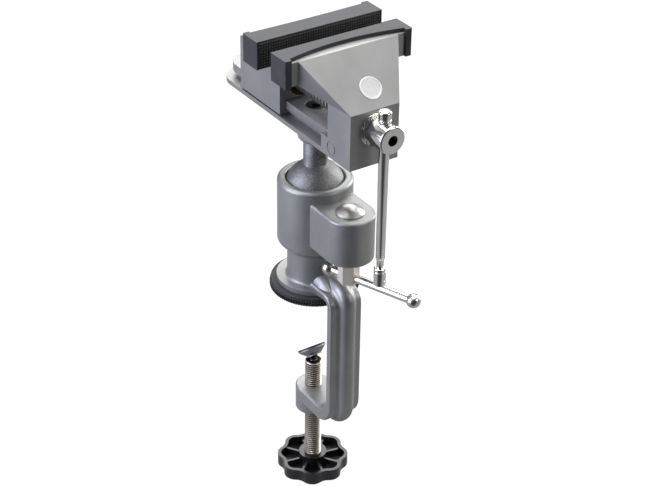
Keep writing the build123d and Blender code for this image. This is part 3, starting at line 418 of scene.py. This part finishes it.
PAINT = cast_paint()
SEAT_RUBBER = rubber("seat_rubber", (0.012, 0.012, 0.013), (0.045, 0.045, 0.047), 0.05 * MM)
JAW_RUBBER = rubber("jaw_rubber", (0.022, 0.023, 0.026), (0.062, 0.063, 0.068), 0.05 * MM)
GRIP_RUBBER = knurled_rubber()
NICKEL = plated("bright_nickel", (0.78, 0.76, 0.72), 0.11)
BOLT_ZINC = plated("bolt_zinc", (0.60, 0.58, 0.54), 0.35, 0.08)
NUT_ZINC = plated("nut_zinc", (0.92, 0.84, 0.76), 0.55, 0.1)
SOFT_NICKEL = plated("soft_nickel", (0.74, 0.72, 0.68), 0.22, 0.08)
SATIN_ZINC = plated("satin_zinc", (0.34, 0.34, 0.345), 0.46, 0.1)
TURNED_STEEL = plated("turned_steel", (0.42, 0.42, 0.41), 0.33, 0.1)
THREAD_STEEL = thread_steel()
HEAD_NICKEL = head_nickel()
PLAIN_STEEL = plated("plain_steel", (0.5, 0.5, 0.49), 0.3, 0.1)
# Brass darkened almost to black: painted shade for the nut's place deep inside the jaw
SHADED_NUT_BRASS = plated("nut_brass", (0.055, 0.043, 0.026), 0.5, 0.1)
# Near-black steel on the head bolt and its washer: painted shade for the dark hole in the deck
HOLE_SHADE_STEEL = plated("hole_shade_steel", (0.07, 0.07, 0.07), 0.38, 0.1)
BALL_METAL = cast_ball()
BLACK_PLASTIC = knob_plastic()
BADGE = badge_metal()

# ======================================= Modelling helpers =====================================


def new_piece(name, bm, material, body, replaced=(), smooth_angle=35.0):
    """Makes a piece of the mesh, shades it smooth up to the angle and lets it ride on a body."""
    mesh = bpy.data.meshes.new(name)
    bm.to_mesh(mesh)
    bm.free()
    mesh.materials.append(material)
    piece = bpy.data.objects.new(name, mesh)
    bpy.context.scene.collection.objects.link(piece)
    mesh.polygons.foreach_set("use_smooth", [True] * len(mesh.polygons))
    mesh.set_sharp_from_angle(angle=math.radians(smooth_angle))
    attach(piece, body)
    if replaced:
        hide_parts(*replaced)
    return piece


def merged_copy(node):
    """The node's mesh as a bmesh with its doubles merged and its flat faces joined."""
    bm = bmesh.new()
    bm.from_mesh(frame["nodes"][node].data)
    bmesh.ops.remove_doubles(bm, verts=bm.verts, dist=0.002 * MM)
    bmesh.ops.dissolve_limit(
        bm, angle_limit=math.radians(0.5), verts=bm.verts, edges=bm.edges, delimit={"NORMAL"}
    )
    return bm


def soften(piece, width, angle=32.0, segments=3):
    """Rounds the piece's sharp edges."""
    bevel = piece.modifiers.new("soft_edges", "BEVEL")
    bevel.width = width
    bevel.segments = segments
    bevel.limit_method = "ANGLE"
    bevel.angle_limit = math.radians(angle)
    bevel.use_clamp_overlap = True
    bevel.harden_normals = True
    return piece


def scaled(bm):
    """Takes a mesh drawn in millimetres to metres."""
    bmesh.ops.scale(bm, vec=(MM, MM, MM), verts=bm.verts)
    return bm


def cut_away(bm, point, normal):
    """Removes what lies beyond a plane, in the direction of its normal, and closes the cut."""
    geometry = bm.verts[:] + bm.edges[:] + bm.faces[:]
    cut = bmesh.ops.bisect_plane(
        bm, geom=geometry, dist=1e-7, plane_co=point, plane_no=normal, clear_outer=True
    )
    rim = [e for e in cut["geom_cut"] if isinstance(e, bmesh.types.BMEdge)]
    bmesh.ops.holes_fill(bm, edges=rim, sides=0)
    return bm


def turned(profile, steps=64):
    """A profile of radius and height pairs in millimetres, turned full circle about Z."""
    bm = bmesh.new()
    line = [bm.verts.new((radius, 0, height)) for radius, height in profile]
    edges = [bm.edges.new(pair) for pair in zip(line, line[1:])]
    bmesh.ops.spin(
        bm,
        geom=line + edges,
        cent=(0, 0, 0),
        axis=(0, 0, 1),
        angle=2 * math.pi,
        steps=steps,
        use_merge=True,
    )
    bmesh.ops.remove_doubles(bm, verts=bm.verts, dist=1e-4)
    bmesh.ops.recalc_face_normals(bm, faces=bm.faces)
    return bm


def rounded(profile, size, parts=4):
    """The profile with the corners between its first and last points rounded."""
    points = [Vector(p) for p in profile]
    result = [points[0]]
    for before, corner, after in zip(points, points[1:], points[2:]):
        reach = min(size, (before - corner).length * 0.45, (after - corner).length * 0.45)
        start = corner + (before - corner).normalized() * reach
        end = corner + (after - corner).normalized() * reach
        for number in range(parts + 1):
            along = number / parts
            result.append(start.lerp(corner, along).lerp(corner.lerp(end, along), along))
    result.append(points[-1])
    return [tuple(p) for p in result]


def threaded_rod(radius, depth, pitch, start, end, crest=0.125, root=0.2, steps=40):
    """A helical thread about Z, in millimetres, cut flat at both ends."""
    bm = bmesh.new()
    flank = (1 - crest - root) / 2
    line = [
        bm.verts.new((radius - depth, 0, 0)),
        bm.verts.new((radius, 0, flank * pitch)),
        bm.verts.new((radius, 0, (flank + crest) * pitch)),
        bm.verts.new((radius - depth, 0, (2 * flank + crest) * pitch)),
        bm.verts.new((radius - depth, 0, pitch)),
    ]
    edges = [bm.edges.new(pair) for pair in zip(line, line[1:])]
    turns = math.ceil((end - start) / pitch) + 2
    bmesh.ops.spin(
        bm,
        geom=line + edges,
        cent=(0, 0, 0),
        axis=(0, 0, 1),
        dvec=(0, 0, pitch / steps),
        angle=2 * math.pi,
        steps=steps,
    )
    one_turn = bm.verts[:] + bm.edges[:] + bm.faces[:]
    for number in range(1, turns):
        more = bmesh.ops.duplicate(bm, geom=one_turn)["geom"]
        moved = [part for part in more if isinstance(part, bmesh.types.BMVert)]
        bmesh.ops.translate(bm, verts=moved, vec=(0, 0, number * pitch))
    bmesh.ops.remove_doubles(bm, verts=bm.verts, dist=pitch * 1e-3)
    bmesh.ops.translate(bm, verts=bm.verts, vec=(0, 0, start - 1.5 * pitch))
    bmesh.ops.recalc_face_normals(bm, faces=bm.faces)
    cut_away(bm, (0, 0, end), (0, 0, 1))
    cut_away(bm, (0, 0, start), (0, 0, -1))
    return bm


def joined(first, second):
    """Adds the second mesh to the first."""
    spare = bpy.data.meshes.new("spare")
    second.to_mesh(spare)
    second.free()
    first.from_mesh(spare)
    bpy.data.meshes.remove(spare)
    return first


def dress(node, material, edge=0.0, angle=32.0):
    """Stands a copy of the node, with merged faces and softened edges, in its place."""
    body = frame["nodes"][node]["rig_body"]
    piece = new_piece(node + "_skin", merged_copy(node), material, body, (node,))
    if edge:
        soften(piece, edge, angle)
    return piece


# ========================================== The pieces =========================================

DRESSED = (
    ("c_frame", PAINT, "cast_silver", 0.9),
    ("head_body", PAINT, "cast_silver", 0.7),
    ("sliding_jaw", PAINT, "cast_silver", 0.7),
    ("ball_stem", BALL_METAL, "bare_casting", 0.0),
    ("ball_seat", PLAIN_STEEL, "plain_steel", 0.2),
    ("ball_shoe", PLAIN_STEEL, "plain_steel", 0.2),
    ("lock_wedge", PLAIN_STEEL, "plain_steel", 0.2),
    ("lock_bolt", BOLT_ZINC, "zinc_steel", 0.2),
    ("lock_nut", NUT_ZINC, "zinc_steel", 0.25),
    ("lock_bar", SOFT_NICKEL, "bright_nickel", 0.2),
    ("lock_bar_long_ball", SOFT_NICKEL, "bright_nickel", 0.0),
    ("lock_bar_short_ball", SOFT_NICKEL, "bright_nickel", 0.0),
    # The head bolt and its washer take painted shade; their own finish is plain steel
    ("head_bolt", HOLE_SHADE_STEEL, "plain_steel", 0.2),
    ("head_bolt_washer", HOLE_SHADE_STEEL, "plain_steel", 0.1),
    # The jaw nut's brass carries painted shade for its place inside the jaw
    ("jaw_nut", SHADED_NUT_BRASS, "nut_brass", 0.2),
    ("lead_screw_washer", NICKEL, "bright_nickel", 0.15),
    ("lead_screw_clip", PLAIN_STEEL, "plain_steel", 0.1),
    ("tommy_bar", NICKEL, "bright_nickel", 0.0),
    ("clamp_knob", BLACK_PLASTIC, "black_plastic", 0.35),
    ("knob_screw", PLAIN_STEEL, "zinc_steel", 0.2),
    ("pad_thrust_washer", PLAIN_STEEL, "plain_steel", 0.1),
    ("swivel_pad", SATIN_ZINC, "zinc_steel", 0.2),
    ("pad_face", SEAT_RUBBER, "black_rubber", 0.15),
    ("pad_snap_ring", PLAIN_STEEL, "plain_steel", 0.0),
)

for node, material, slot, edge in DRESSED:
    dress(node, material, edge * MM)


def clamp_thread():
    """The clamp screw: its tip and square end from the model, with a cut thread between."""
    tip = cut_away(
        merged_copy("clamp_screw"), (0, 0, (CLAMP_THREAD_END - CUT_OVERLAP) * MM), (0, 0, -1)
    )
    foot = cut_away(
        merged_copy("clamp_screw"), (0, 0, (CLAMP_THREAD_START + CUT_OVERLAP) * MM), (0, 0, 1)
    )
    rod = threaded_rod(
        CLAMP_RADIUS, CLAMP_DEPTH, CLAMP_PITCH, CLAMP_THREAD_START, CLAMP_THREAD_END
    )
    whole = joined(joined(tip, foot), scaled(rod))
    new_piece(
        "clamp_screw_thread",
        whole,
        THREAD_STEEL,
        "clamp_screw",
        ("clamp_screw",),
        25,
    )


def lead_thread():
    """The lead screw: its head and end from the model, with a trapezoidal thread between."""
    head = cut_away(
        merged_copy("lead_screw"), (0, (SCREW_THREAD_START + CUT_OVERLAP) * MM, 0), (0, 1, 0)
    )
    tail = cut_away(
        merged_copy("lead_screw"), (0, (SCREW_THREAD_END - CUT_OVERLAP) * MM, 0), (0, -1, 0)
    )
    rod = threaded_rod(
        SCREW_RADIUS,
        SCREW_DEPTH,
        SCREW_PITCH,
        SCREW_THREAD_START,
        SCREW_THREAD_END,
        SCREW_CREST,
        SCREW_ROOT,
    )
    bmesh.ops.rotate(rod, verts=rod.verts, matrix=Matrix.Rotation(-math.pi / 2, 3, "X"))
    bmesh.ops.translate(rod, verts=rod.verts, vec=(0, 0, SCREW_HEIGHT))
    front = new_piece(
        "lead_screw_head", head, HEAD_NICKEL, "lead_screw", ("lead_screw",)
    )
    soften(front, 0.2 * MM)
    whole = joined(tail, scaled(rod))
    screw = new_piece("lead_screw_thread", whole, TURNED_STEEL, "lead_screw", (), 28)
    soften(screw, 0.12 * MM, 50, 2)


def serrated_seat():
    """The rubber table seat, with fine teeth round its lower rim."""
    profile = rounded(
        [
            (ON_AXIS, 0), (SEAT_FOOT_RADIUS, 0), (SEAT_RADIUS, BAND_BOTTOM),
            (SEAT_RADIUS, BAND_TOP), (SEAT_UPPER_RADIUS, UPPER_START),
            (SEAT_UPPER_RADIUS, SEAT_TOP), (ON_AXIS, SEAT_TOP),
        ],
        0.5,
    )
    bm = turned(profile, SEAT_TEETH * 4)
    for vert in bm.verts:
        radius = math.hypot(vert.co.x, vert.co.y)
        if radius > TOOTH_INNER and vert.co.z < TOOTH_TOP:
            turn = math.atan2(vert.co.y, vert.co.x)
            notch = 0.5 - 0.5 * math.cos(turn * SEAT_TEETH)
            shrink = 1 - TOOTH_DEPTH * notch / radius
            vert.co.x *= shrink
            vert.co.y *= shrink
    new_piece(
        "serrated_seat",
        scaled(bm),
        SEAT_RUBBER,
        "frame",
        ("table_seat_rubber",),
        50,
    )


def tommy_ends():
    """The cap and the ferrule of the handle bar, turned with fine rings."""
    cap = rounded(
        [
            (ON_AXIS, CAP_BOTTOM), (3.1, CAP_BOTTOM), (CAP_RADIUS, CAP_BOTTOM + 0.5),
            (CAP_RADIUS, CAP_BOTTOM + 1.3), (CAP_GROOVE, CAP_BOTTOM + 1.5),
            (CAP_GROOVE, CAP_BOTTOM + 1.8), (CAP_RADIUS, CAP_BOTTOM + 2.0),
            (CAP_RADIUS, CAP_TOP - 0.9), (2.6, CAP_TOP), (ON_AXIS, CAP_TOP),
        ],
        0.45,
    )
    ferrule = rounded(
        [
            (ON_AXIS, FERRULE_BOTTOM), (2.4, FERRULE_BOTTOM),
            (FERRULE_RADIUS, FERRULE_BOTTOM + 0.9), (FERRULE_RADIUS, FERRULE_TOP - 2.4),
            (FERRULE_GROOVE, FERRULE_TOP - 2.2), (FERRULE_GROOVE, FERRULE_TOP - 1.8),
            (FERRULE_RADIUS, FERRULE_TOP - 1.6), (FERRULE_RADIUS, FERRULE_TOP - 0.4),
            (2.9, FERRULE_TOP), (ON_AXIS, FERRULE_TOP),
        ],
        0.4,
    )
    for name, profile, node in (
        ("turned_cap", cap, "tommy_cap"),
        ("turned_ferrule", ferrule, "tommy_ferrule"),
    ):
        bm = turned(profile)
        bmesh.ops.translate(bm, verts=bm.verts, vec=(0, TOMMY_Y, 0))
        new_piece(name, scaled(bm), NICKEL, "tommy", (node,))


def grip(name, face_y, towards, body):
    """A knurled gripping face: rows of small pyramids whose tips lie in the pad's face."""
    columns, rows = 2 * GRIP_COLUMNS, 2 * GRIP_ROWS
    bm = bmesh.new()
    grid = []
    for row in range(rows + 1):
        z = GRIP_BOTTOM + (GRIP_TOP - GRIP_BOTTOM) * row / rows
        line = []
        for column in range(columns + 1):
            x = GRIP_HALF_WIDTH * (2 * column / columns - 1)
            rim = row in (0, rows) or column in (0, columns)
            tip = not rim and row % 2 == 1 and column % 2 == 1
            hip = not rim and row % 2 != column % 2
            depth = TIP_DEPTH if tip else GRIP_DEPTH * (HIP_SHARE if hip else 1.0)
            line.append(bm.verts.new((x, face_y - towards * depth, z)))
        grid.append(line)
    for low, high in zip(grid, grid[1:]):
        for first, second, third, fourth in zip(low, low[1:], high[1:], high):
            bm.faces.new((first, second, third, fourth))
    bmesh.ops.recalc_face_normals(bm, faces=bm.faces)
    if bm.faces[0].normal.y * towards < 0:
        bmesh.ops.reverse_faces(bm, faces=bm.faces)
    new_piece(name, scaled(bm), GRIP_RUBBER, body, (), 10)


def jaw_boot(node, face_y, towards, body):
    """A rubber boot, with its gripping face set back behind the knurl."""
    bm = merged_copy(node)
    for vert in bm.verts:
        if abs(vert.co.y - face_y * MM) < FACE_REACH * MM:
            vert.co.y -= towards * GRIP_DEPTH * MM
    boot = new_piece(node + "_boot", bm, JAW_RUBBER, body, (node,))
    soften(boot, 0.35 * MM)
    grip(node + "_grip", face_y, towards, body)


def ringed_badge():
    """The plain round disc, with a raised rim and a shallow dish."""
    up = Vector((0, -1, 1)).normalized()
    profile = rounded(
        [
            (ON_AXIS, BADGE_DISH), (5.2, BADGE_DISH), (5.5, BADGE_RIM), (6.1, BADGE_RIM),
            (6.35, BADGE_SHOULDER), (6.35, 0.0), (ON_AXIS, 0.0),
        ],
        BADGE_ROUND,
    )
    bm = turned(profile)
    turn = Vector((0, 0, 1)).rotation_difference(up).to_matrix()
    bmesh.ops.rotate(bm, verts=bm.verts, matrix=turn)
    bmesh.ops.translate(bm, verts=bm.verts, vec=BADGE_CENTRE)
    new_piece("ringed_badge", scaled(bm), BADGE, "head", ("round_badge",))


clamp_thread()
lead_thread()
serrated_seat()
tommy_ends()
jaw_boot("fixed_jaw_pad", FIXED_FACE_Y, 1, "head")
jaw_boot("sliding_jaw_pad", SLIDING_FACE_Y, -1, "jaw")
ringed_badge()

# ===================================== Floor, lights, camera ===================================


def studio_floor():
    """A pale floor, low enough for the knob at the bottom of its travel."""
    bm = bmesh.new()
    bmesh.ops.create_grid(bm, x_segments=1, y_segments=1, size=FLOOR_SIZE / 2)
    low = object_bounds()[0].z - FLOOR_DROP
    bmesh.ops.translate(bm, verts=bm.verts, vec=(0, 0, low))
    mesh = bpy.data.meshes.new("studio_floor")
    bm.to_mesh(mesh)
    bm.free()
    floor = bpy.data.objects.new("studio_floor", mesh)
    bpy.context.scene.collection.objects.link(floor)
    floor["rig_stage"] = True
    made = Finish("pale_floor", (FLOOR_SHADE,) * 3, 0.9, 0.0)
    tree, shader = made.tree, made.shader
    glow = tree.nodes.new("ShaderNodeEmission")
    glow.inputs["Strength"].default_value = 1.0
    rays = tree.nodes.new("ShaderNodeLightPath")
    mix = tree.nodes.new("ShaderNodeMixShader")
    seen = Socket(made, rays.outputs["Is Camera Ray"])
    made.fill(mix.inputs[0], seen * FLOOR_GLOW)
    # Reflections find a dark strip on the floor, from the vise towards the camera
    where = made.node("ShaderNodeVectorMath", {"operation": "NORMALIZE"}, {0: made.place()})
    ahead = made.node(
        "ShaderNodeVectorMath", {"operation": "DOT_PRODUCT"}, {0: where, 1: FLOOR_STRIP}, "Value"
    )
    strip = made.node(
        "ShaderNodeMapRange", {}, {"Value": ahead, "From Min": STRIP_START, "From Max": STRIP_END}
    )
    card = made.blend(strip, (CARD_SHADE,) * 3, (STRIP_SHADE,) * 3)
    made.set(base_color=made.blend(seen, card, (FLOOR_SHADE,) * 3))
    tree.links.new(shader.outputs[0], mix.inputs[1])
    tree.links.new(glow.outputs[0], mix.inputs[2])
    tree.links.new(mix.outputs[0], tree.nodes["Material Output"].inputs["Surface"])
    mesh.materials.append(made.material)


def softbox(name, place, size, power, color):
    """An area light that looks at the vise."""
    lamp = bpy.data.lights.new(name, "AREA")
    lamp.shape = "RECTANGLE"
    lamp.size, lamp.size_y = size
    lamp.energy = power
    lamp.color = color
    holder = bpy.data.objects.new(name, lamp)
    holder.location = place
    holder.rotation_euler = (Vector(LIGHT_TARGET) - Vector(place)).to_track_quat("-Z", "Y").to_euler()
    bpy.context.scene.collection.objects.link(holder)


def studio_world():
    """White for the camera; a soft grey sky for the rest, bright overhead and dark in front."""
    world = bpy.data.worlds.new("studio")
    bpy.context.scene.world = world
    world.use_nodes = True
    nodes, links = world.node_tree.nodes, world.node_tree.links
    sky = nodes["Background"]
    where = nodes.new("ShaderNodeTexCoord")
    parts = nodes.new("ShaderNodeSeparateXYZ")
    links.new(where.outputs["Generated"], parts.inputs[0])
    height = nodes.new("ShaderNodeMapRange")
    height.inputs["From Min"].default_value = -1.0
    links.new(parts.outputs["Z"], height.inputs["Value"])
    ramp = nodes.new("ShaderNodeValToRGB")
    stops = ramp.color_ramp.elements
    for place, shade in SKY:
        stop = stops.new(place)
        stop.color = (*shade, 1)
    stops.remove(stops[0])
    stops.remove(stops[len(stops) - 1])
    links.new(height.outputs[0], ramp.inputs[0])
    links.new(ramp.outputs[0], sky.inputs["Color"])
    # A dark card stands in front, round the camera
    facing = nodes.new("ShaderNodeVectorMath")
    facing.operation = "DOT_PRODUCT"
    links.new(where.outputs["Generated"], facing.inputs[0])
    facing.inputs[1].default_value = DARK_SIDE
    shade = nodes.new("ShaderNodeMapRange")
    shade.inputs["From Min"].default_value = DARK_START
    shade.inputs["From Max"].default_value = DARK_END
    shade.inputs["To Min"].default_value = 1.0
    shade.inputs["To Max"].default_value = DARK_STRENGTH
    links.new(facing.outputs["Value"], shade.inputs["Value"])
    links.new(shade.outputs[0], sky.inputs["Strength"])
    white = nodes.new("ShaderNodeBackground")
    white.inputs["Color"].default_value = (1, 1, 1, 1)
    white.inputs["Strength"].default_value = 1.0
    rays = nodes.new("ShaderNodeLightPath")
    either = nodes.new("ShaderNodeMath")
    either.operation = "MAXIMUM"
    links.new(rays.outputs["Is Camera Ray"], either.inputs[0])
    links.new(rays.outputs["Is Transmission Ray"], either.inputs[1])
    mix = nodes.new("ShaderNodeMixShader")
    links.new(either.outputs[0], mix.inputs[0])
    links.new(sky.outputs[0], mix.inputs[1])
    links.new(white.outputs[0], mix.inputs[2])
    links.new(mix.outputs[0], nodes["World Output"].inputs["Surface"])


def photo_camera():
    """A camera at the photograph's place and angle."""
    camera = bpy.data.objects.new("photo_camera", bpy.data.cameras.new("photo_camera"))
    bpy.context.scene.collection.objects.link(camera)
    camera.data.lens = CAMERA_LENS
    camera.data.sensor_width = CAMERA_SENSOR
    camera.data.clip_start = 0.05
    turn, rise = math.radians(CAMERA_AZIMUTH), math.radians(CAMERA_ELEVATION)
    back = Vector(
        (math.sin(turn) * math.cos(rise), -math.cos(turn) * math.cos(rise), math.sin(rise))
    )
    facing = (-back).to_track_quat("-Z", "Y").to_matrix()
    roll = Matrix.Rotation(math.radians(CAMERA_ROLL), 3, "Z")
    camera.matrix_world = Matrix.Translation(CAMERA_PLACE) @ (facing @ roll).to_4x4()
    bpy.context.scene.camera = camera


studio_floor()
studio_world()
photo_camera()
for settings in SOFTBOXES:
    softbox(*settings)
bpy.context.scene.view_settings.view_transform = "Standard"
